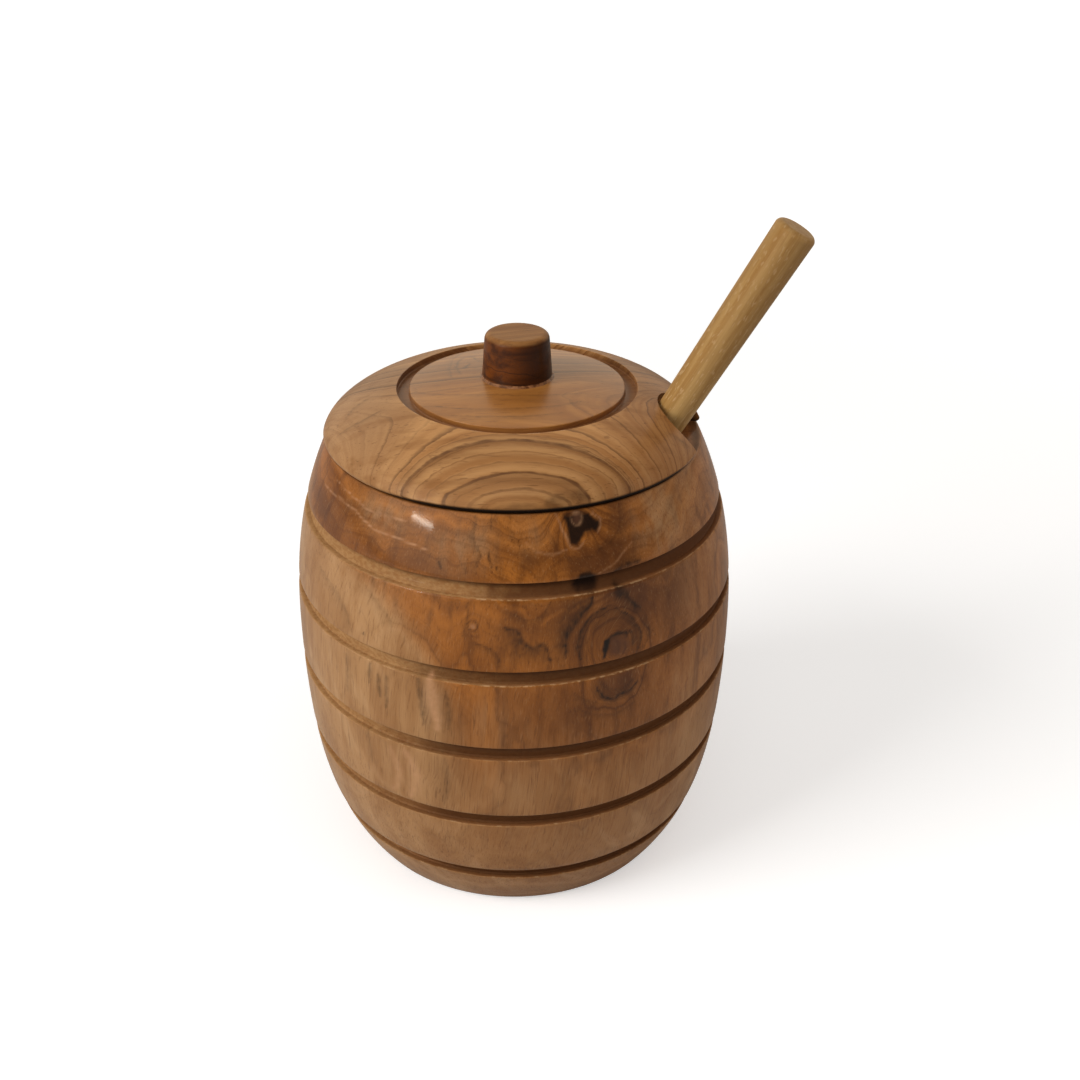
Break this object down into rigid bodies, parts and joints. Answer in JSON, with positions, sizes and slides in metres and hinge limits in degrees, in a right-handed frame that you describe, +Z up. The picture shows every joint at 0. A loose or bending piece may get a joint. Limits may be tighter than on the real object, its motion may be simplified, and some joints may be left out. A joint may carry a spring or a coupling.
{
  "type": "lidded honey pot",
  "caption": "Turned wooden barrel-shaped honey pot with a domed lift-off lid, round knob and a leaning honey dipper in the lid's notch.",
  "frame": {"origin": "centre of the pot's flat foot, on the surface it stands on", "axes": "+Z up along the pot's turning axis; the dipper leans towards +X, turned 8 degrees towards -Y; -Y is the front"},
  "size_m": [0.1213, 0.11, 0.1657],
  "materials": {
    "teak_body": "clear gloss lacquer",
    "teak_lid": "clear gloss lacquer",
    "teak_knob": "clear gloss lacquer",
    "beech": "fine sanded, satin"
  },
  "bodies": {
    "pot": {"pot_body": "teak_body"},
    "lid": {"lid": "teak_lid", "knob": "teak_knob"},
    "dipper": {"dipper_stick": "beech", "dipper_head": "beech"}
  },
  "joints": [
    {"name": "lid_lift", "type": "slide", "parent": "pot", "child": "lid", "axis": [0, 0, 1], "range_m": [0, 0.065]},
    {"name": "dipper_pull", "type": "slide", "parent": "pot", "child": "dipper", "axis": [0.474, -0.0666, 0.878], "range_m": [0, 0.05]}
  ]
}
